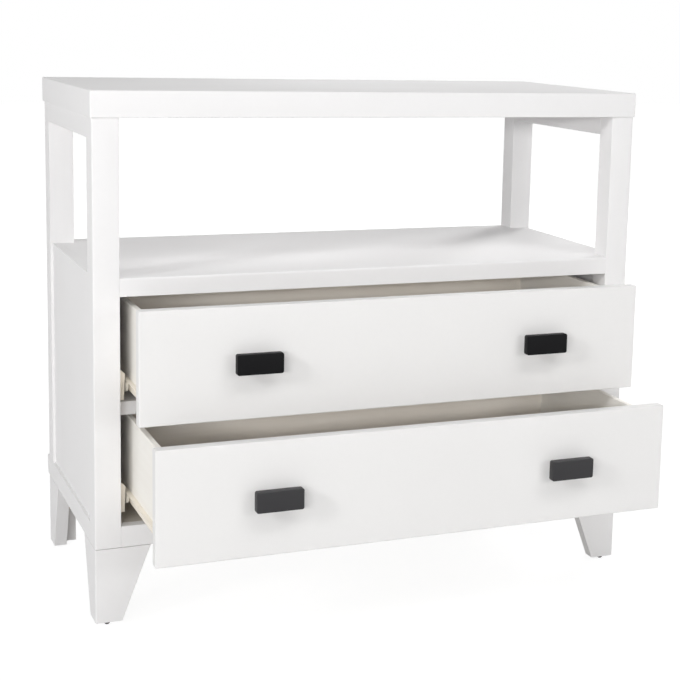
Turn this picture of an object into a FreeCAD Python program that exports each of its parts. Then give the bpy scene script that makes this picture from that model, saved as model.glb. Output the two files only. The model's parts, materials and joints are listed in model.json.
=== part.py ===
import FreeCAD, Part
import math
import os

# A free-standing dresser with an open bay under its top and two drawers on roller slides.
# Millimetres. X runs to the right, Y to the back, Z up. The pieces are made with Y measured from the front faces
# of the posts. Then they move together, so that the origin lies on the floor under the middle of the dresser as
# it stands with its drawers out.

# Frame
body_width = 1000.0
body_depth = 445.0
post_size = 44.0
open_bay_height = 261.5
post_ease = 2.5
joint_ease = 0.8

# Table top
top_thickness = 44.0
top_overhang_front = 2.5
top_overhang_side = 2.5
top_overhang_back = 8.0
top_ease = 2.5
top_lower_ease = 1.2

# Feet
glide_height = 6.0
glide_radius = 5.2
glide_nail_radius = 1.5
glide_nail_length = 16.0
glide_from_corner_x = 21.0
glide_from_corner_y = 11.0
foot_height = 130.0
foot_board = 23.0
foot_width_top = 94.0
foot_width_bottom = 45.0
corner_block_height = 58.0
corner_block_chamfer = 6.0

# Rails and tenons
bottom_rail_height = 36.0
bottom_rail_thickness = 20.0
rear_rail_thickness = 18.0
rear_rail_bevel = 5.0
top_rail_height = 35.0
divider_height = 23.0
divider_depth = 70.0
tenon_length = 18.0
tenon_thickness = 10.0
tenon_shoulder = 6.0

# Panels and shelf
shelf_thickness = 31.0
shelf_front_round = 4.0
side_panel_thickness = 15.0
side_panel_recess = 5.0
side_panel_tongue = 8.0
bottom_panel_thickness = 12.0
back_panel_thickness = 5.0
back_panel_side_reveal = 6.0
back_panel_top_reveal = 2.5

# Dowels
dowel_radius = 5.0
dowel_half_length = 19.0
dowel_from_face = 15.0

# Drawer fronts and the gaps round them
front_height = 188.0
front_thickness = 20.0
front_ease = 1.5
gap_side = 4.0
gap_top = 2.0
gap_between = 6.5
gap_bottom = 7.0
gap_behind_front = 2.0

# Drawer boxes
slide_gap = 21.5
box_board = 10.0
box_below_front_top = 16.0
box_above_front_bottom = 27.0
box_behind_clearance = 25.0
box_bottom_thickness = 5.0
box_bottom_rise = 12.0
box_groove = 5.0
box_edge_ease = 1.5
box_back_inset = 8.0

# How far each drawer stands out
upper_pull_out = 118.0
lower_pull_out = 228.0
slide_travel = 305.0

# Roller slides. Distances across are measured from the post's inner face towards the drawer.
sheet = 1.2
slide_setback = 1.5
slide_end_inset = 23.5
channel_width = 12.0
ear_length = 24.5
ear_rear_length = 21.5
ear_below_box = 16.0
ear_above_box = 35.0
tab_bottom_narrowing = 1.5
tab_corner = 6.0
roller_centre_above_box = 6.0
front_roller_radius = 10.5
rear_roller_radius = 10.0
roller_to_sheet_gap = 0.1
front_roller_from_tab = 12.5
rear_roller_from_end = 12.0
running_flange_to_channel = 1.0
stop_lip_depth = 6.0
drawer_member_front_gap = 0.3

# Roller pins
pin_radius = 2.5
pin_collar_radius = 4.0
pin_head_thickness = 0.8
pin_head_to_sheet = 0.5
roller_end_play = 0.1
roller_bore_play = 0.05
roller_rim_chamfer = 0.7
roller_dish_depth = 0.6
roller_hub_radius = 4.6

# Screws
slide_screw_radius = 1.75
slide_screw_length = 14.0
slide_screw_head_radius = 3.5
slide_screw_head_thickness = 2.0
slide_screw_above_box = 26.0
slide_screw_from_ear_edge = 11.0
box_screw_length = 10.0
box_screw_from_end = 60.0
pull_screw_radius = 2.0
pull_screw_length = 28.0
pull_screw_head_radius = 4.0
pull_screw_head_thickness = 2.4
pull_screw_spacing = 22.0

# Pulls
pull_offset = 260.0
pull_above_centre = 3.0
pull_width = 78.0
pull_height = 34.0
pull_thickness = 13.6
pull_projection = 28.0
pull_corner = 2.5
pull_edge = 1.2
pull_neck_width = 40.0
pull_neck_height = 20.0
pull_neck_corner = 3.0

# Levels and faces that follow from the sizes above
half_width = body_width / 2
bay_half = half_width - post_size
back_post_front = body_depth - post_size
body_bottom = glide_height + foot_height
deck_level = body_bottom + bottom_rail_height
lower_front_bottom = deck_level + gap_bottom
upper_front_bottom = lower_front_bottom + front_height + gap_between
shelf_bottom = upper_front_bottom + front_height + gap_top
shelf_top = shelf_bottom + shelf_thickness
post_top = shelf_top + open_bay_height
top_rail_bottom = post_top - top_rail_height
overall_height = post_top + top_thickness
panel_outer = half_width - side_panel_recess
panel_inner = panel_outer - side_panel_thickness
divider_front = front_thickness + gap_behind_front
divider_middle = upper_front_bottom - gap_between / 2
front_half = bay_half - gap_side
box_outer = bay_half - slide_gap
box_inner = box_outer - box_board
box_height = front_height - box_below_front_top - box_above_front_bottom
box_rear = body_depth - box_behind_clearance
slide_front = front_thickness + slide_setback
slide_rear = body_depth - slide_end_inset
front_roller_y = slide_front + front_roller_from_tab
rear_roller_y = box_rear - rear_roller_from_end
front_reach = max(upper_pull_out, lower_pull_out) + pull_projection
back_reach = body_depth + max(rear_rail_thickness, top_overhang_back)
origin_behind_posts = (back_reach - front_reach) / 2
box_floor_bottom = box_bottom_rise
box_floor_top = box_bottom_rise + box_bottom_thickness


def vec(x, y, z):
    return FreeCAD.Vector(x, y, z)


def block(x0, x1, y0, y1, z0, z1):
    return Part.makeBox(x1 - x0, y1 - y0, z1 - z0, vec(x0, y0, z0))


def rod(radius, start, direction, length):
    return Part.makeCylinder(radius, length, start, direction)


def prism(corners, sweep):
    wire = Part.makePolygon(corners + [corners[0]])
    return Part.Face(wire).extrude(sweep)


def join(shapes):
    joined = shapes[0].fuse(shapes[1:])
    return joined.removeSplitter()


def cut_out(shape, tools):
    return shape.cut(tools)


def mirrored(shape):
    return shape.mirror(vec(0, 0, 0), vec(1, 0, 0))


def moved(shape, x, y, z):
    placed = shape.copy()
    placed.translate(vec(x, y, z))
    return placed


def edges_along(shape, direction):
    chosen = []
    for edge in shape.Edges:
        if len(edge.Vertexes) != 2:
            continue
        run = edge.Vertexes[1].Point - edge.Vertexes[0].Point
        if run.Length > 0 and abs(run.normalize().dot(direction)) > 0.999:
            chosen.append(edge)
    return chosen


def edges_at(shape, keep):
    return [edge for edge in shape.Edges if keep(edge.CenterOfMass)]


def near(a, b):
    return abs(a - b) < 0.01


# Frame pieces

def rail_with_tenons(x0, x1, y0, y1, z0, z1, along):
    # A rail whose ends carry tenons, centred in its thickness and shouldered above and below.
    pieces = [block(x0, x1, y0, y1, z0, z1)]
    low = z0 + tenon_shoulder
    high = z1 - tenon_shoulder
    if along == "x":
        middle = (y0 + y1) / 2
        side = tenon_thickness / 2
        pieces.append(block(x0 - tenon_length, x0, middle - side, middle + side, low, high))
        pieces.append(block(x1, x1 + tenon_length, middle - side, middle + side, low, high))
    else:
        middle = (x0 + x1) / 2
        side = tenon_thickness / 2
        pieces.append(block(middle - side, middle + side, y0 - tenon_length, y0, low, high))
        pieces.append(block(middle - side, middle + side, y1, y1 + tenon_length, low, high))
    return join(pieces)


def make_divider_rail():
    # A flat rail behind the gap between the fronts. Its tenons stand where it passes the front posts.
    low = divider_middle - divider_height / 2
    high = divider_middle + divider_height / 2
    rail = block(-bay_half, bay_half, divider_front, divider_front + divider_depth, low, high)
    tenons = block(-bay_half - tenon_length, bay_half + tenon_length, divider_front + tenon_shoulder,
                   post_size - tenon_shoulder, low + tenon_shoulder, high - tenon_shoulder)
    return join([rail, tenons])


def make_table_top():
    slab = block(-half_width - top_overhang_side, half_width + top_overhang_side,
                 -top_overhang_front, body_depth + top_overhang_back, post_top, overall_height)
    slab = slab.makeFillet(top_ease, edges_along(slab, vec(0, 0, 1)))
    slab = slab.makeFillet(top_ease, edges_at(slab, lambda c: near(c.z, overall_height)))
    return slab.makeFillet(top_lower_ease, edges_at(slab, lambda c: near(c.z, post_top)))


def make_post_block(front_post):
    y0 = 0.0 if front_post else back_post_front
    post = block(-half_width, -bay_half, y0, y0 + post_size, body_bottom, post_top)
    outer_y = y0 if front_post else y0 + post_size

    def outer_corner(c):
        return near(c.x, -half_width) and near(c.y, outer_y) and near(c.z, (body_bottom + post_top) / 2)

    def other_corner(c):
        return near(c.z, (body_bottom + post_top) / 2) and not near(c.x, -half_width)

    post = post.makeFillet(post_ease, edges_at(post, outer_corner))
    return post.makeFillet(joint_ease, edges_at(post, other_corner))


def make_shelf():
    corners = [
        vec(-bay_half, 0, shelf_bottom),
        vec(bay_half, 0, shelf_bottom),
        vec(bay_half, post_size, shelf_bottom),
        vec(panel_inner, post_size, shelf_bottom),
        vec(panel_inner, back_post_front, shelf_bottom),
        vec(bay_half, back_post_front, shelf_bottom),
        vec(bay_half, body_depth, shelf_bottom),
        vec(-bay_half, body_depth, shelf_bottom),
        vec(-bay_half, back_post_front, shelf_bottom),
        vec(-panel_inner, back_post_front, shelf_bottom),
        vec(-panel_inner, post_size, shelf_bottom),
        vec(-bay_half, post_size, shelf_bottom),
    ]
    board = prism(corners, vec(0, 0, shelf_thickness))
    return board.makeFillet(shelf_front_round, edges_at(board, lambda c: near(c.y, 0) and near(c.z, shelf_top)))


def make_side_panel():
    # The panel stands on the side bottom rail and its upright edges go into grooves in the posts.
    return block(-panel_outer, -panel_inner, post_size - side_panel_tongue,
                 back_post_front + side_panel_tongue, deck_level, shelf_top)


def make_bottom_panel():
    corners = [
        vec(-bay_half, bottom_rail_thickness, 0),
        vec(bay_half, bottom_rail_thickness, 0),
        vec(bay_half, post_size, 0),
        vec(half_width - bottom_rail_thickness, post_size, 0),
        vec(half_width - bottom_rail_thickness, back_post_front, 0),
        vec(bay_half, back_post_front, 0),
        vec(bay_half, body_depth, 0),
        vec(-bay_half, body_depth, 0),
        vec(-bay_half, back_post_front, 0),
        vec(-half_width + bottom_rail_thickness, back_post_front, 0),
        vec(-half_width + bottom_rail_thickness, post_size, 0),
        vec(-bay_half, post_size, 0),
    ]
    board = prism(corners, vec(0, 0, bottom_panel_thickness))
    return moved(board, 0, 0, deck_level - bottom_panel_thickness)


def make_rear_bottom_rail():
    # A plinth rail over the backs of the posts, its lower outer edge bevelled.
    y0 = body_depth
    y1 = body_depth + rear_rail_thickness
    corners = [
        vec(-half_width, y0, body_bottom),
        vec(-half_width, y1 - rear_rail_bevel, body_bottom),
        vec(-half_width, y1, body_bottom + 2 * rear_rail_bevel),
        vec(-half_width, y1, deck_level),
        vec(-half_width, y0, deck_level),
    ]
    return prism(corners, vec(body_width, 0, 0))


def make_back_panel():
    edge = half_width - back_panel_side_reveal
    return block(-edge, edge, body_depth, body_depth + back_panel_thickness,
                 deck_level, shelf_top - back_panel_top_reveal)


# Feet

def make_foot_pair(cross_width_top):
    # The two mitred boards of one foot. The outer corner is at the local origin, X and Y run inwards.
    cross = prism([vec(0, 0, 0), vec(foot_width_bottom, 0, 0),
                   vec(cross_width_top, 0, foot_height), vec(0, 0, foot_height)], vec(0, foot_board, 0))
    side = prism([vec(0, 0, 0), vec(0, foot_width_bottom, 0),
                  vec(0, foot_width_top, foot_height), vec(0, 0, foot_height)], vec(foot_board, 0, 0))
    behind_mitre = prism([vec(0, 0, 0), vec(foot_board, foot_board, 0), vec(0, foot_board, 0)],
                         vec(0, 0, foot_height))
    before_mitre = prism([vec(0, 0, 0), vec(foot_board, 0, 0), vec(foot_board, foot_board, 0)],
                         vec(0, 0, foot_height))
    reach = max(foot_width_top, cross_width_top)
    envelope = block(0, reach, 0, reach, 0, foot_height)
    envelope = envelope.makeFillet(post_ease, edges_at(envelope, lambda c: near(c.x, 0) and near(c.y, 0)))
    nail = rod(glide_nail_radius, vec(glide_from_corner_x, glide_from_corner_y, 0), vec(0, 0, 1),
               glide_nail_length)
    cross = cross.cut(behind_mitre).common(envelope).cut(nail)
    side = side.cut(before_mitre).common(envelope)
    return cross, side


def at_front_left(shape):
    return moved(shape, -half_width, 0, glide_height)


def at_back_left(shape):
    flipped = shape.mirror(vec(0, 0, 0), vec(0, 1, 0))
    return moved(flipped, -half_width, body_depth, glide_height)


def make_corner_block():
    size = post_size - foot_board
    glue_block = block(foot_board, foot_board + size, foot_board, foot_board + size,
                       foot_height - corner_block_height, foot_height)
    inner_edge = edges_at(glue_block, lambda c: near(c.x, post_size) and near(c.y, post_size))
    return glue_block.makeChamfer(corner_block_chamfer, inner_edge)


def make_glide():
    profile = [
        vec(0, 0, -glide_height),
        vec(glide_radius - 2, 0, -glide_height),
        vec(glide_radius, 0, -glide_height + 2),
        vec(glide_radius, 0, 0),
        vec(glide_nail_radius, 0, 0),
        vec(glide_nail_radius, 0, glide_nail_length),
        vec(0, 0, glide_nail_length),
    ]
    face = Part.Face(Part.makePolygon(profile + [profile[0]]))
    glide = face.revolve(vec(0, 0, 0), vec(0, 0, 1), 360)
    return moved(glide, glide_from_corner_x, glide_from_corner_y, 0)


# Roller slides, modelled for the left side with X measured from the post's inner face and Z from the drawer
# box's bottom edge

roller_z = roller_centre_above_box
drawer_web = slide_gap - sheet
front_roller_outer = channel_width + running_flange_to_channel + pin_head_to_sheet
front_roller_inner = drawer_web - pin_head_to_sheet - pin_head_thickness - roller_end_play
rear_roller_outer = sheet + 3 * pin_head_to_sheet + pin_head_thickness
rear_roller_inner = channel_width - 3 * pin_head_to_sheet
running_flange_outer = channel_width + running_flange_to_channel
running_flange_under = roller_z + front_roller_radius + roller_to_sheet_gap
lower_track = roller_z - rear_roller_radius - roller_to_sheet_gap
upper_track = roller_z + rear_roller_radius + roller_to_sheet_gap
stop_reach = math.sqrt(rear_roller_radius ** 2 - (upper_track - stop_lip_depth - roller_z) ** 2)
stop_lip_y = rear_roller_y - slide_travel - stop_reach - roller_to_sheet_gap


def make_cabinet_slide():
    ear_end = slide_front + ear_length
    rear_ear_start = slide_rear - ear_rear_length
    web = prism([
        vec(0, slide_front, -ear_below_box),
        vec(0, ear_end, -ear_below_box),
        vec(0, ear_end, lower_track - sheet),
        vec(0, slide_rear, lower_track - sheet),
        vec(0, slide_rear, ear_above_box),
        vec(0, rear_ear_start, ear_above_box),
        vec(0, rear_ear_start, upper_track + sheet),
        vec(0, ear_end, upper_track + sheet),
        vec(0, ear_end, ear_above_box),
        vec(0, slide_front, ear_above_box),
    ], vec(sheet, 0, 0))
    tab = prism([
        vec(0, slide_front, -ear_below_box),
        vec(channel_width - tab_bottom_narrowing, slide_front, -ear_below_box),
        vec(channel_width, slide_front, ear_above_box - tab_corner),
        vec(channel_width - tab_corner, slide_front, ear_above_box),
        vec(0, slide_front, ear_above_box),
    ], vec(0, sheet, 0))
    lower_flange = block(0, channel_width, ear_end, slide_rear, lower_track - sheet, lower_track)
    upper_flange = block(0, channel_width, stop_lip_y - sheet, rear_ear_start, upper_track, upper_track + sheet)
    stop_lip = block(0, channel_width, stop_lip_y - sheet, stop_lip_y, upper_track - stop_lip_depth,
                     upper_track + sheet)
    member = join([web, tab, lower_flange, upper_flange, stop_lip])
    pin_hole = rod(pin_radius, vec(-1, front_roller_y, roller_z), vec(1, 0, 0), sheet + 2)
    holes = [pin_hole]
    for y in slide_screw_rows():
        holes.append(rod(slide_screw_radius, vec(-1, y, slide_screw_above_box), vec(1, 0, 0), sheet + 2))
    return member.cut(holes)


def slide_screw_rows():
    return [slide_front + ear_length - slide_screw_from_ear_edge,
            slide_rear - ear_rear_length + slide_screw_from_ear_edge]


def make_drawer_slide():
    # A cranked section: a flange under the drawer side, a web beside it, and a running flange turned outwards.
    top = running_flange_under + sheet
    start = front_thickness + drawer_member_front_gap
    section = [
        vec(slide_gap + box_board, start, -sheet),
        vec(slide_gap + box_board, start, 0),
        vec(slide_gap, start, 0),
        vec(slide_gap, start, top),
        vec(running_flange_outer, start, top),
        vec(running_flange_outer, start, running_flange_under),
        vec(drawer_web, start, running_flange_under),
        vec(drawer_web, start, -sheet),
    ]
    member = prism(section, vec(0, box_rear - start, 0))
    tools = [rod(pin_radius, vec(drawer_web - 1, rear_roller_y, roller_z), vec(1, 0, 0), sheet + 2)]
    for y in box_screw_rows():
        tools.append(rod(slide_screw_radius, vec(slide_gap + box_board / 2, y, -sheet - 1), vec(0, 0, 1), sheet + 2))
    return member.cut(tools)


def box_screw_rows():
    return [front_thickness + box_screw_from_end, box_rear - box_screw_from_end]


def make_pin(web_face, far_face, roller_near, roller_far, y):
    # A stepped axle: staked end in the sheet, collar up to the roller, journal through it, head beyond.
    step = 1 if far_face > web_face else -1
    axis = vec(step, 0, 0)
    collar_end = roller_near - step * roller_end_play
    journal_end = roller_far + step * roller_end_play
    staked = rod(pin_radius, vec(web_face, y, roller_z), axis, abs(far_face - web_face))
    collar = rod(pin_collar_radius, vec(far_face, y, roller_z), axis, abs(collar_end - far_face))
    journal = rod(pin_radius, vec(collar_end, y, roller_z), axis, abs(journal_end - collar_end))
    head = rod(pin_collar_radius, vec(journal_end, y, roller_z), axis, pin_head_thickness)
    return join([staked, collar, journal, head])


def make_cabinet_pin():
    return make_pin(0, sheet, front_roller_outer, front_roller_inner, front_roller_y)


def make_drawer_pin():
    return make_pin(slide_gap, drawer_web, rear_roller_inner, rear_roller_outer, rear_roller_y)


def make_roller(x0, x1, radius, y):
    # A nylon wheel turned from a profile: chamfered rim, a shallow dish in each face and a hub round the bore.
    bore = pin_radius + roller_bore_play
    rim = radius - 2.2
    profile = [
        vec(x0, bore, 0),
        vec(x0, roller_hub_radius, 0),
        vec(x0 + roller_dish_depth, roller_hub_radius + roller_dish_depth, 0),
        vec(x0 + roller_dish_depth, rim - roller_dish_depth, 0),
        vec(x0, rim, 0),
        vec(x0, radius - roller_rim_chamfer, 0),
        vec(x0 + roller_rim_chamfer, radius, 0),
        vec(x1 - roller_rim_chamfer, radius, 0),
        vec(x1, radius - roller_rim_chamfer, 0),
        vec(x1, rim, 0),
        vec(x1 - roller_dish_depth, rim - roller_dish_depth, 0),
        vec(x1 - roller_dish_depth, roller_hub_radius + roller_dish_depth, 0),
        vec(x1, roller_hub_radius, 0),
        vec(x1, bore, 0),
    ]
    face = Part.Face(Part.makePolygon(profile + [profile[0]]))
    wheel = face.revolve(vec(0, 0, 0), vec(1, 0, 0), 360)
    return moved(wheel, 0, y, roller_z)


def make_front_roller():
    return make_roller(front_roller_outer, front_roller_inner, front_roller_radius, front_roller_y)


def make_rear_roller():
    return make_roller(rear_roller_outer, rear_roller_inner, rear_roller_radius, rear_roller_y)


def make_screw(start, direction, length, radius, head_radius, head_thickness):
    # The head's underside is at the start, the shank runs along the direction.
    shank = rod(radius, start, direction, length)
    head = rod(head_radius, start, direction * -1, head_thickness)
    rim = [edge for edge in head.Edges if near(edge.Length, 2 * math.pi * head_radius)]
    outer = [edge for edge in rim if (edge.CenterOfMass - start).Length > head_thickness / 2]
    head = head.makeFillet(head_thickness * 0.4, outer)
    return join([shank, head])


def make_cabinet_slide_screws():
    screws = []
    for y in slide_screw_rows():
        start = vec(sheet, y, slide_screw_above_box)
        screws.append(make_screw(start, vec(-1, 0, 0), slide_screw_length, slide_screw_radius,
                                 slide_screw_head_radius, slide_screw_head_thickness))
    return screws


def make_box_screws():
    screws = []
    for y in box_screw_rows():
        start = vec(slide_gap + box_board / 2, y, -sheet)
        screws.append(make_screw(start, vec(0, 0, 1), box_screw_length, slide_screw_radius,
                                 slide_screw_head_radius, slide_screw_head_thickness))
    return screws


def both_sides(local, level, pull_out):
    # Places a slide piece on the left post at a drawer's level, and its mirror image on the right.
    left = moved(local, -bay_half, -pull_out, level)
    return left, mirrored(left)


# Drawers, modelled closed and then drawn out

def make_pull(centre_x, centre_z):
    half = pull_width / 2
    tall = pull_height / 2
    bar_back = -pull_projection + pull_thickness
    bar = block(centre_x - half, centre_x + half, -pull_projection, bar_back, centre_z - tall, centre_z + tall)
    bar = bar.makeFillet(pull_corner, edges_along(bar, vec(0, 1, 0)))
    bar = bar.makeFillet(pull_edge, edges_at(bar, lambda c: near(c.y, -pull_projection)))
    half_neck = pull_neck_width / 2
    tall_neck = pull_neck_height / 2
    neck = block(centre_x - half_neck, centre_x + half_neck, bar_back, 0, centre_z - tall_neck, centre_z + tall_neck)
    neck = neck.makeFillet(pull_neck_corner, edges_along(neck, vec(0, 1, 0)))
    return join([bar, neck])


def make_pull_screws(centre_x, centre_z):
    screws = []
    for side in (-1, 1):
        start = vec(centre_x + side * pull_screw_spacing / 2, front_thickness, centre_z)
        screws.append(make_screw(start, vec(0, -1, 0), pull_screw_length, pull_screw_radius,
                                 pull_screw_head_radius, pull_screw_head_thickness))
    return screws


def make_drawer(front_bottom):
    box_bottom = front_bottom + box_above_front_bottom
    box_top = box_bottom + box_height
    back_rear_face = box_rear - box_back_inset
    back_front_face = back_rear_face - box_board
    tongue = box_board / 2
    floor_low = box_bottom + box_floor_bottom
    floor_high = box_bottom + box_floor_top

    front = block(-front_half, front_half, 0, front_thickness, front_bottom, front_bottom + front_height)
    front = front.makeFillet(front_ease, front.Edges)

    side_body = block(-box_outer, -box_inner, front_thickness, box_rear, box_bottom, box_top)
    inner_and_outer_top = edges_at(side_body, lambda c: near(c.z, box_top) and near(c.y, (front_thickness + box_rear) / 2))
    side_body = side_body.makeFillet(box_edge_ease, inner_and_outer_top)
    side_tongue = block(-box_inner - tongue, -box_inner, front_thickness - box_groove, front_thickness,
                        box_bottom, box_top - box_edge_ease)
    side = join([side_body, side_tongue])

    floor_panel = block(-box_inner - box_groove, box_inner + box_groove, front_thickness - box_groove,
                        back_front_face + box_groove, floor_low, floor_high)
    back = block(-box_inner - box_groove, box_inner + box_groove, back_front_face, back_rear_face,
                 box_bottom, box_top - box_edge_ease)
    back = back.cut(floor_panel)
    side = side.cut([floor_panel, back])

    pull_level = front_bottom + front_height / 2 + pull_above_centre
    pulls = [make_pull(side_sign * pull_offset, pull_level) for side_sign in (-1, 1)]
    pull_screws = make_pull_screws(-pull_offset, pull_level) + make_pull_screws(pull_offset, pull_level)
    pulls = [pull.cut(pull_screws) for pull in pulls]

    slide_left, slide_right = both_sides(make_drawer_slide(), box_bottom, 0)
    pins = both_sides(make_drawer_pin(), box_bottom, 0)
    box_screws = []
    for screw in make_box_screws():
        box_screws.extend(both_sides(screw, box_bottom, 0))
    side_left = side.cut(box_screws)
    side_right = mirrored(side_left)
    front = front.cut([side_left, side_right, floor_panel] + pull_screws)

    return {
        "front": front,
        "side_left": side_left,
        "side_right": side_right,
        "back": back,
        "bottom": floor_panel,
        "pull_left": pulls[0],
        "pull_right": pulls[1],
        "slide_left": slide_left,
        "slide_right": slide_right,
        "roller_pins": Part.makeCompound(list(pins)),
        "screws": Part.makeCompound(pull_screws + box_screws),
    }


# Putting the pieces together

pieces = {}

front_rail = rail_with_tenons(-bay_half, bay_half, 0, bottom_rail_thickness, body_bottom, deck_level, "x")
divider = make_divider_rail()
side_rail = rail_with_tenons(-half_width, -half_width + bottom_rail_thickness, post_size, back_post_front,
                             body_bottom, deck_level, "y")
top_rail = rail_with_tenons(-half_width, -bay_half, post_size, back_post_front, top_rail_bottom, post_top, "y")
side_panel = make_side_panel()
shelf = make_shelf()
table_top = make_table_top()

for name, shape in (("side_bottom_rail", side_rail), ("side_top_rail", top_rail), ("side_panel", side_panel)):
    pieces[name + "_left"] = shape
    pieces[name + "_right"] = mirrored(shape)
pieces["front_bottom_rail"] = front_rail
pieces["divider_rail"] = divider
pieces["rear_bottom_rail"] = make_rear_bottom_rail()
pieces["bottom_panel"] = make_bottom_panel()
pieces["back_panel"] = make_back_panel()

# Dowels: one up from each post into the top, one across from each post into the shelf
dowels = []
shelf_middle = (shelf_top + shelf_bottom) / 2
for middle_y in (dowel_from_face, body_depth - dowel_from_face):
    upright = rod(dowel_radius, vec(-half_width + post_size / 2, middle_y, post_top - dowel_half_length),
                  vec(0, 0, 1), 2 * dowel_half_length)
    across = rod(dowel_radius, vec(-bay_half - dowel_half_length, middle_y, shelf_middle), vec(1, 0, 0),
                 2 * dowel_half_length)
    dowels.extend([upright, mirrored(upright), across, mirrored(across)])
pieces["frame_dowels"] = Part.makeCompound(dowels)
pieces["table_top"] = table_top.cut(dowels)
pieces["shelf"] = shelf.cut(dowels)

# Cabinet members, axles, rollers and screws at both drawer levels
slide_levels = (("upper", upper_front_bottom + box_above_front_bottom, upper_pull_out),
                ("lower", lower_front_bottom + box_above_front_bottom, lower_pull_out))
cabinet_pins = []
cabinet_screws = []
for level_name, level, pull_out in slide_levels:
    left, right = both_sides(make_cabinet_slide(), level, 0)
    pieces["cabinet_slide_" + level_name + "_left"] = left
    pieces["cabinet_slide_" + level_name + "_right"] = right
    cabinet_pins.extend(both_sides(make_cabinet_pin(), level, 0))
    for screw in make_cabinet_slide_screws():
        cabinet_screws.extend(both_sides(screw, level, 0))
    pieces[level_name + "_cabinet_rollers"] = Part.makeCompound(list(both_sides(make_front_roller(), level, 0)))
    pieces[level_name + "_drawer_rollers"] = Part.makeCompound(list(both_sides(make_rear_roller(), level, pull_out)))
pieces["cabinet_roller_pins"] = Part.makeCompound(cabinet_pins)
pieces["cabinet_slide_screws"] = Part.makeCompound(cabinet_screws)

# Posts, mortised and grooved for what they carry
for front_post, name in ((True, "post_front"), (False, "post_back")):
    carried = [side_rail, top_rail, side_panel] + dowels + cabinet_screws
    if front_post:
        carried += [front_rail, divider]
    post = cut_out(make_post_block(front_post), carried)
    pieces[name + "_left"] = post
    pieces[name + "_right"] = mirrored(post)

# Feet
front_cross, front_side = make_foot_pair(foot_width_top)
back_cross, back_side = make_foot_pair(foot_width_bottom)
feet = {
    "foot_front_left_front": at_front_left(front_cross),
    "foot_front_left_side": at_front_left(front_side),
    "foot_back_left_back": at_back_left(back_cross),
    "foot_back_left_side": at_back_left(back_side),
}
for name, shape in feet.items():
    pieces[name] = shape
    pieces[name.replace("left", "right")] = mirrored(shape)
corner_blocks = [at_front_left(make_corner_block()), at_back_left(make_corner_block())]
glides = [at_front_left(make_glide()), at_back_left(make_glide())]
pieces["foot_corner_blocks"] = Part.makeCompound(corner_blocks + [mirrored(b) for b in corner_blocks])
pieces["foot_glides"] = Part.makeCompound(glides + [mirrored(g) for g in glides])

# Drawers
for level_name, front_bottom, pull_out in (("upper", upper_front_bottom, upper_pull_out),
                                           ("lower", lower_front_bottom, lower_pull_out)):
    for name, shape in make_drawer(front_bottom).items():
        pieces[level_name + "_drawer_" + name] = moved(shape, 0, -pull_out, 0)

os.makedirs("parts", exist_ok=True)
for name, shape in pieces.items():
    placed = moved(shape, 0, -origin_behind_posts, 0)
    placed.exportStep("parts/" + name + ".step")
    solids = placed.Solids
    print(name, "solids", len(solids), "valid", shape.isValid())
print(len(pieces), "nodes")
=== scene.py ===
import json
import math

import bmesh
import bpy
from mathutils import Matrix, Vector


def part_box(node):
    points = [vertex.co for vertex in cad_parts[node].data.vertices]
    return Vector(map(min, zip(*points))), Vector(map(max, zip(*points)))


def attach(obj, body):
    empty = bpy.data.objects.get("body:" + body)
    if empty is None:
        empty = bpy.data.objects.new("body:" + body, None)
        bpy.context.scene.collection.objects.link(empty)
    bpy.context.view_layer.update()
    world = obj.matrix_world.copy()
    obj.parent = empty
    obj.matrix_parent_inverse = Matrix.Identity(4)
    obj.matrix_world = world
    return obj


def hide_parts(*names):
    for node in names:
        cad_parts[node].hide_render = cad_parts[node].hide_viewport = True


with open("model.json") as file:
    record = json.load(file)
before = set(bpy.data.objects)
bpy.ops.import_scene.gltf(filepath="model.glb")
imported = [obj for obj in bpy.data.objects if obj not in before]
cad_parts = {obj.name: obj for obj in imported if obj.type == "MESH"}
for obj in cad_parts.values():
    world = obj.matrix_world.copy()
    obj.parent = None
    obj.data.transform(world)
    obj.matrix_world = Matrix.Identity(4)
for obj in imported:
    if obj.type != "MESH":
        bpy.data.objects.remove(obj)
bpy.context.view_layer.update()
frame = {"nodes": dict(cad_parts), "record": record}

LEVELS = ("upper", "lower")
SIDES = ("left", "right")
POSTS_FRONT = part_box("post_front_left")[0].y

# Lengths of the dressed pieces, in metres
WELD = 0.00001
JOINT_LINE = 0.001
PULL_THICKNESS, PULL_CORNER, PULL_EDGE = 0.0136, 0.0034, 0.0012
NECK_WIDTH, NECK_HEIGHT, NECK_CORNER, NECK_IN_BAR = 0.040, 0.020, 0.003, 0.0002

# A screw's head, in parts of its height or its radius
HEAD_WALL, HEAD_DOME_STEPS, HEAD_DOME_INSET = 0.35, 6, 0.34
CROSS_HALF_WIDTH, CROSS_HALF_LENGTH, CROSS_DEPTH, CROSS_TAPER = 0.11, 0.52, 0.6, 0.72
POINT_TAPER = 0.55

# Head height and shank radius of the two kinds of screw, told apart by the radius of the head
SLIDE_SCREW, PULL_SCREW, HEAD_RADIUS_BETWEEN = (0.002, 0.00175), (0.0024, 0.002), 0.0038

# The light of the room and the floor
ROOM_LIGHT = 0.15
FLOOR_HALF_SIZE = 14.0
FLOOR_PAPER = (0.64, 0.64, 0.64, 1.0)
FLOOR_SHADE = (0.2, 0.2, 0.2, 1.0)
FLOOR_GLOW, GLOW_STARTS_TO_RISE, GLOW_IS_WHITE = 0.9, 0.9, 2.6
WHITE = (1.0, 1.0, 1.0, 1.0)

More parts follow.
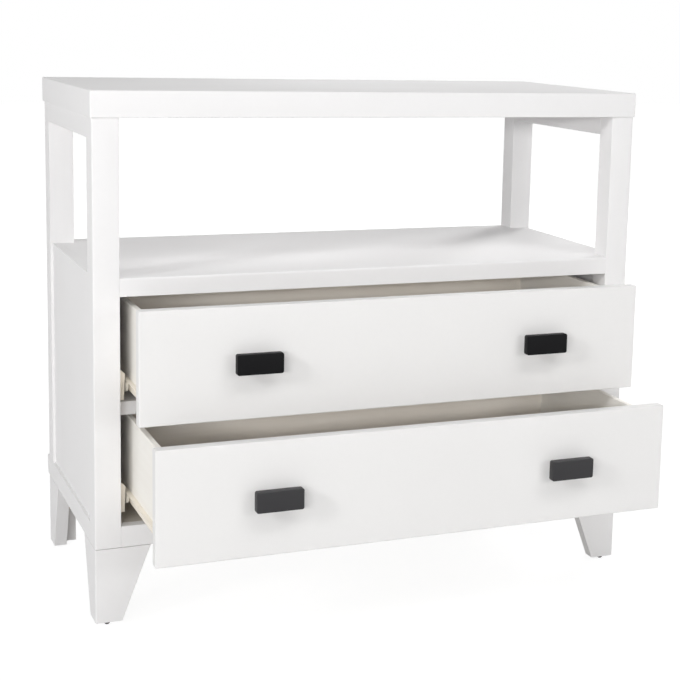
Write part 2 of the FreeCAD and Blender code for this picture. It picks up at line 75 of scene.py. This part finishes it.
# The camera, fitted to the corners of the dresser in a square picture of 680 pixels
PICTURE = 680
FOCAL_PIXELS = 1497.141
OPTICAL_CENTRE = (425, 265)
SENSOR = 36.0
CAMERA_YAW, CAMERA_PITCH, CAMERA_ROLL = -0.412858, -0.163221, 0.027411
CAMERA_FROM_POSTS = (-0.964838, -2.400001, 1.026348)
FARTHEST = 60.0

# Each softbox: its bearing to the left of the dresser's front in degrees, its distance from the middle of the posts'
# front, its height, its width and height, and its watts
AIM_HEIGHT = 0.45
SOFTBOXES = {
    "strip at the front left": (25.0, 4.5, 1.41, (1.2, 0.27), 30.5),
    "strip further to the left": (40.0, 4.5, 1.28, (1.2, 0.27), 42.0),
    "small strip at the front right": (-21.8, 2.69, 1.05, (1.0, 0.25), 9.5),
    "softbox to the left": (65.0, 5.56, 2.7, (1.0, 1.0), 98.0),
    "high softbox at the front left": (25.0, 4.24, 4.69, (2.2, 2.2), 22.0),
    "high softbox at the front right": (-30.0, 3.86, 5.05, (2.0, 2.0), 52.0),
    "high softbox in front": (2.0, 3.0, 4.6, (0.7, 0.7), 20.0),
    "softbox behind, at the right": (-130.0, 5.64, 2.5, (1.5, 1.5), 163.0),
    "softbox behind": (-160.0, 5.82, 1.9, (1.5, 1.5), 36.0),
    "softbox behind, at the left": (120.0, 5.87, 1.7, (1.5, 1.5), 32.0),
}


# Small helpers for meshes

def body_and_slot(node):
    record = frame["record"]
    body = next(b for b, nodes in record["behaviour"]["bodies"].items() if node in nodes)
    node_slot = next(s["material_slot"] for s in record["subparts"] if s["node"] == node)
    return body, node_slot


def piece_for(node, ending, bm, material):
    """The finished mesh as a piece of its own, which stands for the node and rides on the node's body."""
    name = node + ending
    body, node_slot = body_and_slot(node)
    mesh = bpy.data.meshes.new(name)
    bm.to_mesh(mesh)
    bm.free()
    piece = bpy.data.objects.new(name, mesh)
    bpy.context.scene.collection.objects.link(piece)
    piece.data.materials.append(material)
    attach(piece, body)
    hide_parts(node)
    return piece


def shade_by_angle(bm, degrees):
    for face in bm.faces:
        face.smooth = True
    for edge in bm.edges:
        if len(edge.link_faces) == 2:
            edge.smooth = edge.calc_face_angle(0.0) < math.radians(degrees)


def merged_copy(node):
    bm = bmesh.new()
    bm.from_mesh(frame["nodes"][node].data)
    bmesh.ops.remove_doubles(bm, verts=bm.verts, dist=WELD)
    return bm


def eased_copy(node, width, material):
    """A copy of a CAD node with its sharp edges eased."""
    bm = merged_copy(node)
    bmesh.ops.dissolve_limit(bm, angle_limit=math.radians(1.0), verts=bm.verts, edges=bm.edges)
    shade_by_angle(bm, 40.0)
    piece = piece_for(node, "_eased", bm, material)
    soft = piece.modifiers.new("eased edges", "BEVEL")
    soft.width = width
    soft.segments = 3
    soft.limit_method = "ANGLE"
    soft.angle_limit = math.radians(50.0)
    soft.harden_normals = True
    soft.use_clamp_overlap = True
    return piece


def leave_joint_line(piece, top):
    """Lowers the top face of a foot board by the open joint line that shows under the body."""
    for vert in piece.data.vertices:
        if top - vert.co.z < JOINT_LINE / 2:
            vert.co.z = top - JOINT_LINE


# Node helpers for materials

def new_material(name):
    material = bpy.data.materials.new(name)
    material.use_nodes = True
    tree = material.node_tree
    tree.nodes.clear()
    shader = tree.nodes.new("ShaderNodeBsdfPrincipled")
    output = tree.nodes.new("ShaderNodeOutputMaterial")
    tree.links.new(shader.outputs["BSDF"], output.inputs["Surface"])
    return material, tree, shader


def put(tree, kind, **values):
    node = tree.nodes.new(kind)
    for key, value in values.items():
        setattr(node, key, value)
    return node


def linear(red, green, blue):
    """A colour as a paint chart gives it, 0 to 255, turned into the shader's linear values."""
    def one(value):
        value = value / 255
        return value / 12.92 if value <= 0.04045 else ((value + 0.055) / 1.055) ** 2.4
    return one(red), one(green), one(blue), 1.0


def group_socket(group, name, direction, kind, default=None):
    socket = group.interface.new_socket(name=name, in_out=direction, socket_type=kind)
    if default is not None:
        socket.default_value = default
    return socket


def sprayed_paint_group():
    """Sprayed paint: a faint cloudiness in the colour and the gloss, and the fine orange peel of the film."""
    group = bpy.data.node_groups.new("sprayed paint film", "ShaderNodeTree")
    group_socket(group, "Paint", "INPUT", "NodeSocketColor", (0.8, 0.8, 0.8, 1.0))
    group_socket(group, "Paint In Clouds", "INPUT", "NodeSocketColor", (0.76, 0.76, 0.75, 1.0))
    group_socket(group, "Gloss Low", "INPUT", "NodeSocketFloat", 0.34)
    group_socket(group, "Gloss High", "INPUT", "NodeSocketFloat", 0.46)
    group_socket(group, "Peel Size", "INPUT", "NodeSocketFloat", 520.0)
    group_socket(group, "Color", "OUTPUT", "NodeSocketColor")
    group_socket(group, "Roughness", "OUTPUT", "NodeSocketFloat")
    group_socket(group, "Height", "OUTPUT", "NodeSocketFloat")
    source = put(group, "NodeGroupInput")
    result = put(group, "NodeGroupOutput")
    place = put(group, "ShaderNodeTexCoord")
    clouds = put(group, "ShaderNodeTexNoise")
    clouds.inputs["Scale"].default_value = 5.0
    clouds.inputs["Detail"].default_value = 3.0
    specks = put(group, "ShaderNodeTexNoise")
    specks.inputs["Scale"].default_value = 160.0
    specks.inputs["Detail"].default_value = 2.0
    peel = put(group, "ShaderNodeTexNoise")
    peel.inputs["Detail"].default_value = 1.5
    even = put(group, "ShaderNodeMath", operation="MULTIPLY_ADD")
    even.inputs[1].default_value = 0.35
    soften = put(group, "ShaderNodeMapRange")
    soften.inputs["From Min"].default_value = 0.35
    soften.inputs["From Max"].default_value = 1.05
    tint = put(group, "ShaderNodeMix", data_type="RGBA")
    gloss = put(group, "ShaderNodeMix", data_type="FLOAT")
    link = group.links.new
    for noise in (clouds, specks, peel):
        link(place.outputs["Object"], noise.inputs["Vector"])
    link(source.outputs["Peel Size"], peel.inputs["Scale"])
    link(specks.outputs["Fac"], even.inputs[0])
    link(clouds.outputs["Fac"], even.inputs[2])
    link(even.outputs[0], soften.inputs["Value"])
    link(soften.outputs["Result"], tint.inputs["Factor"])
    link(source.outputs["Paint"], tint.inputs["A"])
    link(source.outputs["Paint In Clouds"], tint.inputs["B"])
    link(clouds.outputs["Fac"], gloss.inputs["Factor"])
    link(source.outputs["Gloss Low"], gloss.inputs["A"])
    link(source.outputs["Gloss High"], gloss.inputs["B"])
    link(tint.outputs["Result"], result.inputs["Color"])
    link(gloss.outputs["Result"], result.inputs["Roughness"])
    link(peel.outputs["Fac"], result.inputs["Height"])
    return group


def board_grain_group():
    """The grain of a board along one direction: long streaks in the colour and fine pores in the height."""
    group = bpy.data.node_groups.new("board grain", "ShaderNodeTree")
    group_socket(group, "Vector", "INPUT", "NodeSocketVector")
    group_socket(group, "Light Wood", "INPUT", "NodeSocketColor", (0.7, 0.66, 0.6, 1.0))
    group_socket(group, "Dark Wood", "INPUT", "NodeSocketColor", (0.6, 0.55, 0.48, 1.0))
    group_socket(group, "Streak Size", "INPUT", "NodeSocketFloat", 60.0)
    group_socket(group, "Color", "OUTPUT", "NodeSocketColor")
    group_socket(group, "Roughness", "OUTPUT", "NodeSocketFloat")
    group_socket(group, "Height", "OUTPUT", "NodeSocketFloat")
    source = put(group, "NodeGroupInput")
    result = put(group, "NodeGroupOutput")
    streaks = put(group, "ShaderNodeTexNoise")
    streaks.inputs["Detail"].default_value = 5.0
    streaks.inputs["Distortion"].default_value = 0.35
    pores = put(group, "ShaderNodeTexNoise")
    pores.inputs["Detail"].default_value = 3.0
    finer = put(group, "ShaderNodeMath", operation="MULTIPLY")
    finer.inputs[1].default_value = 4.5
    contrast = put(group, "ShaderNodeMapRange")
    contrast.inputs["From Min"].default_value = 0.3
    contrast.inputs["From Max"].default_value = 0.72
    together = put(group, "ShaderNodeMath", operation="MULTIPLY_ADD")
    together.inputs[1].default_value = 0.3
    tint = put(group, "ShaderNodeMix", data_type="RGBA")
    gloss = put(group, "ShaderNodeMapRange")
    gloss.inputs["To Min"].default_value = 0.5
    gloss.inputs["To Max"].default_value = 0.68
    link = group.links.new
    link(source.outputs["Vector"], streaks.inputs["Vector"])
    link(source.outputs["Vector"], pores.inputs["Vector"])
    link(source.outputs["Streak Size"], streaks.inputs["Scale"])
    link(source.outputs["Streak Size"], finer.inputs[0])
    link(finer.outputs[0], pores.inputs["Scale"])
    link(pores.outputs["Fac"], together.inputs[0])
    link(streaks.outputs["Fac"], together.inputs[2])
    link(together.outputs[0], contrast.inputs["Value"])
    link(contrast.outputs["Result"], tint.inputs["Factor"])
    link(source.outputs["Light Wood"], tint.inputs["A"])
    link(source.outputs["Dark Wood"], tint.inputs["B"])
    link(pores.outputs["Fac"], gloss.inputs["Value"])
    link(tint.outputs["Result"], result.inputs["Color"])
    link(gloss.outputs["Result"], result.inputs["Roughness"])
    link(together.outputs[0], result.inputs["Height"])
    return group


PAINT_FILM = sprayed_paint_group()
BOARD_GRAIN = board_grain_group()
GRAIN_STRETCH = 0.06


def finish_shader(tree, shader, effect, strength, depth):
    """Feeds a group's colour, roughness and height to the shader of its material."""
    bump = put(tree, "ShaderNodeBump")
    bump.inputs["Strength"].default_value = strength
    bump.inputs["Distance"].default_value = depth
    tree.links.new(effect.outputs["Color"], shader.inputs["Base Color"])
    tree.links.new(effect.outputs["Roughness"], shader.inputs["Roughness"])
    tree.links.new(effect.outputs["Height"], bump.inputs["Height"])
    tree.links.new(bump.outputs["Normal"], shader.inputs["Normal"])


def paint(name, colour, cloud, gloss, peel=520.0, strength=0.12, shine=None, metal=0.0):
    material, tree, shader = new_material(name)
    film = put(tree, "ShaderNodeGroup", node_tree=PAINT_FILM)
    film.inputs["Paint"].default_value = colour
    film.inputs["Paint In Clouds"].default_value = cloud
    film.inputs["Gloss Low"].default_value = gloss[0]
    film.inputs["Gloss High"].default_value = gloss[1]
    film.inputs["Peel Size"].default_value = peel
    finish_shader(tree, shader, film, strength, depth=0.00015)
    if shine is not None:
        shader.inputs["Specular IOR Level"].default_value = shine
    shader.inputs["Metallic"].default_value = metal
    return material


def grained_board(name, light, dark, along, streak=26.0):
    material, tree, shader = new_material(name)
    place = put(tree, "ShaderNodeTexCoord")
    lay = put(tree, "ShaderNodeMapping")
    lay.inputs["Scale"].default_value = [GRAIN_STRETCH if axis == along else 1.0 for axis in "xyz"]
    grain = put(tree, "ShaderNodeGroup", node_tree=BOARD_GRAIN)
    grain.inputs["Light Wood"].default_value = light
    grain.inputs["Dark Wood"].default_value = dark
    grain.inputs["Streak Size"].default_value = streak
    tree.links.new(place.outputs["Object"], lay.inputs["Vector"])
    tree.links.new(lay.outputs["Vector"], grain.inputs["Vector"])
    finish_shader(tree, shader, grain, strength=0.25, depth=0.0002)
    return material


white_paint = paint("white satin paint", linear(241, 240, 240), linear(238, 237, 237), (0.64, 0.74), shine=0.22)
front_paint = paint("white satin paint of the drawer fronts", linear(238, 237, 236), linear(235, 234, 233),
                    (0.64, 0.74), shine=0.22)
# The pulls' one black paint in two copies: the upper pair's copy is darker and less shiny, a painted shade; the
# lower pair's copy is paler, a painted reflection.
pull_coat_painted_shade_upper = paint("black coat", linear(8, 8, 10), linear(11, 11, 13), (0.38, 0.5), peel=900.0, strength=0.2,
                   shine=0.12)
pull_coat_painted_reflection_lower = paint("black satin coat", linear(20, 19, 22), linear(26, 25, 28), (0.4, 0.52), peel=900.0,
                         strength=0.2)
cream_coat = paint("cream powder coat", linear(246, 240, 228), linear(243, 235, 221), (0.4, 0.5), peel=1400.0,
                   strength=0.2)
nylon_white = paint("moulded nylon", linear(236, 232, 222), linear(230, 225, 213), (0.42, 0.52), peel=300.0)
dark_plastic = paint("dark glide plastic", linear(70, 66, 62), linear(60, 56, 52), (0.4, 0.55), peel=600.0)
zinc = paint("zinc plating", linear(196, 198, 200), linear(180, 183, 188), (0.28, 0.4), peel=800.0, metal=1.0)
box_board_y = grained_board("drawer board, grain front to back", linear(249, 247, 242), linear(244, 241, 235), "y")
box_board_x = grained_board("drawer board, grain side to side", linear(251, 246, 238), linear(241, 234, 224), "x")
panel_board = grained_board("thin panel board", linear(226, 221, 213), linear(214, 208, 198), "x", streak=34.0)
raw_pine = grained_board("planed softwood", linear(214, 188, 150), linear(190, 160, 120), "z", streak=30.0)
beech = grained_board("planed beech", linear(216, 184, 146), linear(198, 162, 122), "z", streak=44.0)

FINISHES = {
    "white_paint": white_paint,
    "drawer_box": box_board_y,
    "panel_board": panel_board,
    "raw_wood": raw_pine,
    "dowel_beech": beech,
    "cream_epoxy": cream_coat,
    "zinc_steel": zinc,
    "nylon": nylon_white,
    "black_pull": pull_coat_painted_shade_upper,
    "glide_dark": dark_plastic,
}


def finish_of(node):
    if node.endswith("_drawer_back") or node.endswith("_drawer_bottom"):
        return box_board_x
    if node.endswith("_drawer_front"):
        return front_paint
    return FINISHES[body_and_slot(node)[1]]


def coat_node(node):
    holder = frame["nodes"][node]
    holder.data.materials.clear()
    holder.data.materials.append(finish_of(node))


# Pieces with eased edges, and how wide each edge is eased

EASED = {
    "table_top": 0.0012, "shelf": 0.0012,
    "front_bottom_rail": 0.0005, "rear_bottom_rail": 0.0005, "divider_rail": 0.001,
    "side_bottom_rail_left": 0.0002, "side_bottom_rail_right": 0.0002,
    "side_top_rail_left": 0.001, "side_top_rail_right": 0.001,
}
for post in ("post_front_left", "post_front_right", "post_back_left", "post_back_right"):
    EASED[post] = 0.0005
for node in frame["nodes"]:
    if node.startswith("foot_") and node not in ("foot_glides", "foot_corner_blocks"):
        EASED[node] = 0.0006
for level in LEVELS:
    EASED[level + "_drawer_back"] = 0.001
    for side in SIDES:
        EASED[level + "_drawer_slide_" + side] = 0.0004
        EASED["cabinet_slide_" + level + "_" + side] = 0.0004

for node, width in EASED.items():
    piece = eased_copy(node, width, finish_of(node))
    if node.startswith("foot_"):
        leave_joint_line(piece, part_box(node)[1].z)

SCREWS = ("cabinet_slide_screws", "upper_drawer_screws", "lower_drawer_screws")
# The upper pulls take the darker copy of the black paint (painted shade), the lower pulls the paler copy (painted
# reflection).
PULLS = {level + "_drawer_pull_" + side: pull_coat_painted_shade_upper if level == "upper" else pull_coat_painted_reflection_lower
         for side in SIDES for level in LEVELS}
for node in frame["nodes"]:
    if node not in EASED and node not in SCREWS and node not in PULLS:
        coat_node(node)


# Pieces made afresh

def make_pull_bar(node, coat):
    """A flat cast bar with round corners and a softened face, on a short neck."""
    low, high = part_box(node)
    middle = (low + high) / 2
    bar_back = low.y + PULL_THICKNESS
    bm = bmesh.new()
    for start, end, width, height, corner in (
        (low.y, bar_back, high.x - low.x, high.z - low.z, PULL_CORNER),
        (bar_back - NECK_IN_BAR, high.y, NECK_WIDTH, NECK_HEIGHT, NECK_CORNER),
    ):
        made = bmesh.ops.create_cube(bm, size=1.0)["verts"]
        bmesh.ops.scale(bm, vec=(width, end - start, height), verts=made)
        bmesh.ops.translate(bm, vec=(middle.x, (start + end) / 2, middle.z), verts=made)
        upright = [e for e in {e for v in made for e in v.link_edges}
                   if abs((e.verts[0].co - e.verts[1].co).normalized().y) > 0.9]
        bmesh.ops.bevel(bm, geom=upright, offset=corner, offset_type="OFFSET", segments=8, profile=0.5,
                        affect="EDGES", material=-1)
    rim = [e for e in bm.edges
           if any(all(abs(v.co.y - face) < 1e-6 for v in e.verts) for face in (low.y, bar_back))]
    bmesh.ops.bevel(bm, geom=rim, offset=PULL_EDGE, offset_type="OFFSET", segments=4, profile=0.5,
                    affect="EDGES", material=-1)
    bmesh.ops.recalc_face_normals(bm, faces=bm.faces)
    shade_by_angle(bm, 35.0)
    piece_for(node, "_bar", bm, coat)


def turned_from_up(direction):
    return Vector((0, 0, 1)).rotation_difference(Vector(direction)).to_matrix().to_4x4()


def add_screw_head(bm, centre, outward, radius, height):
    """A pan head with a cross recess, seated at its centre and pointing outward."""
    head = bmesh.new()
    arc = [(radius, 0.0), (radius, height * HEAD_WALL)]
    for step in range(1, HEAD_DOME_STEPS + 1):
        angle = math.radians(90 * step / HEAD_DOME_STEPS)
        arc.append((radius * (1 - HEAD_DOME_INSET * (1 - math.cos(angle))),
                    height * (HEAD_WALL + (1 - HEAD_WALL) * math.sin(angle))))
    outline = [head.verts.new((r, 0.0, z)) for r, z in arc]
    edges = [head.edges.new(pair) for pair in zip(outline, outline[1:])]
    bmesh.ops.spin(head, geom=outline + edges, cent=(0, 0, 0), axis=(0, 0, 1), dvec=(0, 0, 0),
                   angle=math.tau, steps=32, use_merge=True)
    slot_half, slot_length = radius * CROSS_HALF_WIDTH, radius * CROSS_HALF_LENGTH

    def at_top(item):
        return all(abs(v.co.z - height) < 1e-7 for v in item.verts)

    def in_cross(point):
        x, y = abs(point.x), abs(point.y)
        return (x < slot_half and y < slot_length) or (y < slot_half and x < slot_length)

    bmesh.ops.contextual_create(head, geom=[e for e in head.edges if at_top(e) and e.is_boundary])
    for direction in ((1, 0, 0), (0, 1, 0)):
        for distance in (-slot_length, -slot_half, slot_half, slot_length):
            cap = [f for f in head.faces if at_top(f)]
            around = set(cap) | {e for f in cap for e in f.edges} | {v for f in cap for v in f.verts}
            bmesh.ops.bisect_plane(head, geom=list(around), plane_co=Vector(direction) * distance,
                                   plane_no=direction, dist=1e-7)
    cross = [f for f in head.faces if at_top(f) and in_cross(f.calc_center_median())]
    sunk = bmesh.ops.extrude_face_region(head, geom=cross)["geom"]
    bmesh.ops.delete(head, geom=cross, context="FACES")
    bottom = [v for v in sunk if isinstance(v, bmesh.types.BMVert)]
    bmesh.ops.translate(head, vec=(0, 0, -height * CROSS_DEPTH), verts=bottom)
    bmesh.ops.scale(head, vec=(CROSS_TAPER, CROSS_TAPER, 1.0), verts=bottom)
    bmesh.ops.transform(head, matrix=Matrix.Translation(centre) @ turned_from_up(outward), verts=head.verts)
    held = bpy.data.meshes.new("one screw head")
    head.to_mesh(held)
    head.free()
    bm.from_mesh(held)
    bpy.data.meshes.remove(held)


def add_shank(bm, start, along, radius, length):
    """The screw's shank, a plain rod that tapers to its point inside the wood."""
    made = bmesh.ops.create_cone(bm, cap_ends=True, segments=20, radius1=radius, radius2=radius * POINT_TAPER,
                                 depth=length)["verts"]
    middle = start + along * length / 2
    bmesh.ops.transform(bm, matrix=Matrix.Translation(middle) @ turned_from_up(along), verts=made)


def islands_of(node):
    """The middle and the half-size of each separate solid in a node."""
    bm = merged_copy(node)
    left = set(bm.verts)
    found = []
    while left:
        solid, next_verts = set(), [next(iter(left))]
        while next_verts:
            vert = next_verts.pop()
            if vert not in solid:
                solid.add(vert)
                next_verts.extend(e.other_vert(vert) for e in vert.link_edges)
        left -= solid
        low = Vector([min(v.co[i] for v in solid) for i in range(3)])
        high = Vector([max(v.co[i] for v in solid) for i in range(3)])
        found.append(((low + high) / 2, (high - low) / 2))
    bm.free()
    return sorted(found, key=lambda item: tuple(round(c, 5) for c in item[0]))


def make_screws(node):
    """Each screw of the node as a cross-recess screw in the same place."""
    bm = bmesh.new()
    for middle, half in islands_of(node):
        axis = max(range(3), key=lambda i: half[i])
        head_radius = max(half[i] for i in range(3) if i != axis)
        head_height, shank_radius = SLIDE_SCREW if head_radius < HEAD_RADIUS_BETWEEN else PULL_SCREW
        outward = Vector((0, 0, 0))
        if axis == 0:
            outward.x = 1.0 if middle.x < 0 else -1.0
        elif axis == 1:
            outward.y = 1.0
        else:
            outward.z = -1.0
        seat = middle + outward * (half[axis] - head_height)
        add_screw_head(bm, seat, outward, head_radius, head_height)
        add_shank(bm, seat, -outward, shank_radius, 2 * half[axis] - head_height)
    shade_by_angle(bm, 40.0)
    piece_for(node, "_cross_head", bm, zinc)


for node, coat in PULLS.items():
    make_pull_bar(node, coat)
for node in SCREWS:
    make_screws(node)


# Camera, stage and light

def camera_of_photograph():
    level = Vector((math.cos(CAMERA_YAW), math.sin(CAMERA_YAW), 0))
    ahead = Vector((-math.sin(CAMERA_YAW) * math.cos(CAMERA_PITCH),
                    math.cos(CAMERA_YAW) * math.cos(CAMERA_PITCH), math.sin(CAMERA_PITCH)))
    over = level.cross(ahead)
    right = level * math.cos(CAMERA_ROLL) + over * math.sin(CAMERA_ROLL)
    up = over * math.cos(CAMERA_ROLL) - level * math.sin(CAMERA_ROLL)
    lens = bpy.data.cameras.new("camera")
    camera = bpy.data.objects.new("camera", lens)
    bpy.context.scene.collection.objects.link(camera)
    turn = Matrix((right, up, -ahead)).transposed().to_4x4()
    x, y, z = CAMERA_FROM_POSTS
    camera.matrix_world = Matrix.Translation((x, POSTS_FRONT + y, z)) @ turn
    lens.sensor_width = SENSOR
    lens.lens = FOCAL_PIXELS / PICTURE * SENSOR
    lens.shift_x = (PICTURE / 2 - OPTICAL_CENTRE[0]) / PICTURE
    lens.shift_y = (OPTICAL_CENTRE[1] - PICTURE / 2) / PICTURE
    lens.clip_end = FARTHEST
    bpy.context.scene.camera = camera


def seen_directly(tree):
    """1 where the camera, a reflection or glass looks at it, 0 where it only lights the dresser."""
    path = put(tree, "ShaderNodeLightPath")
    either = put(tree, "ShaderNodeMath", operation="MAXIMUM")
    any_of = put(tree, "ShaderNodeMath", operation="MAXIMUM")
    tree.links.new(path.outputs["Is Camera Ray"], either.inputs[0])
    tree.links.new(path.outputs["Is Glossy Ray"], either.inputs[1])
    tree.links.new(either.outputs[0], any_of.inputs[0])
    tree.links.new(path.outputs["Is Transmission Ray"], any_of.inputs[1])
    return any_of.outputs[0]


def lay_floor():
    """A pale floor that lights the dresser as paper does and looks white, with the dresser's shadow on it."""
    bm = bmesh.new()
    bmesh.ops.create_grid(bm, x_segments=1, y_segments=1, size=FLOOR_HALF_SIZE)
    mesh = bpy.data.meshes.new("floor")
    bm.to_mesh(mesh)
    bm.free()
    floor = bpy.data.objects.new("floor", mesh)
    bpy.context.scene.collection.objects.link(floor)
    material = bpy.data.materials.new("pale floor")
    material.use_nodes = True
    tree = material.node_tree
    tree.nodes.clear()
    output = put(tree, "ShaderNodeOutputMaterial")
    paper = put(tree, "ShaderNodeBsdfDiffuse")
    paper.inputs["Color"].default_value = FLOOR_PAPER
    shade = put(tree, "ShaderNodeBsdfDiffuse")
    shade.inputs["Color"].default_value = FLOOR_SHADE
    glow = put(tree, "ShaderNodeEmission")
    place = put(tree, "ShaderNodeTexCoord")
    away = put(tree, "ShaderNodeVectorMath", operation="LENGTH")
    whiter = put(tree, "ShaderNodeMapRange", interpolation_type="SMOOTHSTEP")
    whiter.inputs["From Min"].default_value = GLOW_STARTS_TO_RISE
    whiter.inputs["From Max"].default_value = GLOW_IS_WHITE
    whiter.inputs["To Min"].default_value = FLOOR_GLOW
    tree.links.new(place.outputs["Object"], away.inputs[0])
    tree.links.new(away.outputs["Value"], whiter.inputs["Value"])
    tree.links.new(whiter.outputs["Result"], glow.inputs["Strength"])
    seen = put(tree, "ShaderNodeAddShader")
    choose = put(tree, "ShaderNodeMixShader")
    tree.links.new(shade.outputs[0], seen.inputs[0])
    tree.links.new(glow.outputs[0], seen.inputs[1])
    tree.links.new(seen_directly(tree), choose.inputs["Fac"])
    tree.links.new(paper.outputs[0], choose.inputs[1])
    tree.links.new(seen.outputs[0], choose.inputs[2])
    tree.links.new(choose.outputs[0], output.inputs["Surface"])
    mesh.materials.append(material)


def fill_world():
    world = bpy.data.worlds.new("studio")
    bpy.context.scene.world = world
    world.use_nodes = True
    tree = world.node_tree
    tree.nodes.clear()
    output = put(tree, "ShaderNodeOutputWorld")
    room = put(tree, "ShaderNodeBackground")
    room.inputs["Color"].default_value = WHITE
    room.inputs["Strength"].default_value = ROOM_LIGHT
    white = put(tree, "ShaderNodeBackground")
    white.inputs["Color"].default_value = WHITE
    white.inputs["Strength"].default_value = 1.0
    choose = put(tree, "ShaderNodeMixShader")
    tree.links.new(seen_directly(tree), choose.inputs["Fac"])
    tree.links.new(room.outputs[0], choose.inputs[1])
    tree.links.new(white.outputs[0], choose.inputs[2])
    tree.links.new(choose.outputs[0], output.inputs["Surface"])


def softbox(name, bearing, distance, height, size, watts):
    """A soft lamp beside the dresser, aimed at the middle of the posts' front."""
    lamp = bpy.data.lights.new(name, "AREA")
    lamp.shape = "RECTANGLE"
    lamp.size, lamp.size_y = size
    lamp.energy = watts
    holder = bpy.data.objects.new(name, lamp)
    holder.visible_camera = False
    bpy.context.scene.collection.objects.link(holder)
    angle = math.radians(bearing)
    place = Vector((-distance * math.sin(angle), POSTS_FRONT - distance * math.cos(angle), height))
    holder.location = place
    aim = Vector((0.0, POSTS_FRONT, AIM_HEIGHT)) - place
    holder.rotation_euler = aim.to_track_quat("-Z", "Y").to_euler()


camera_of_photograph()
lay_floor()
fill_world()
for name, settings in SOFTBOXES.items():
    softbox(name, *settings)

bpy.context.scene.view_settings.view_transform = "Standard"
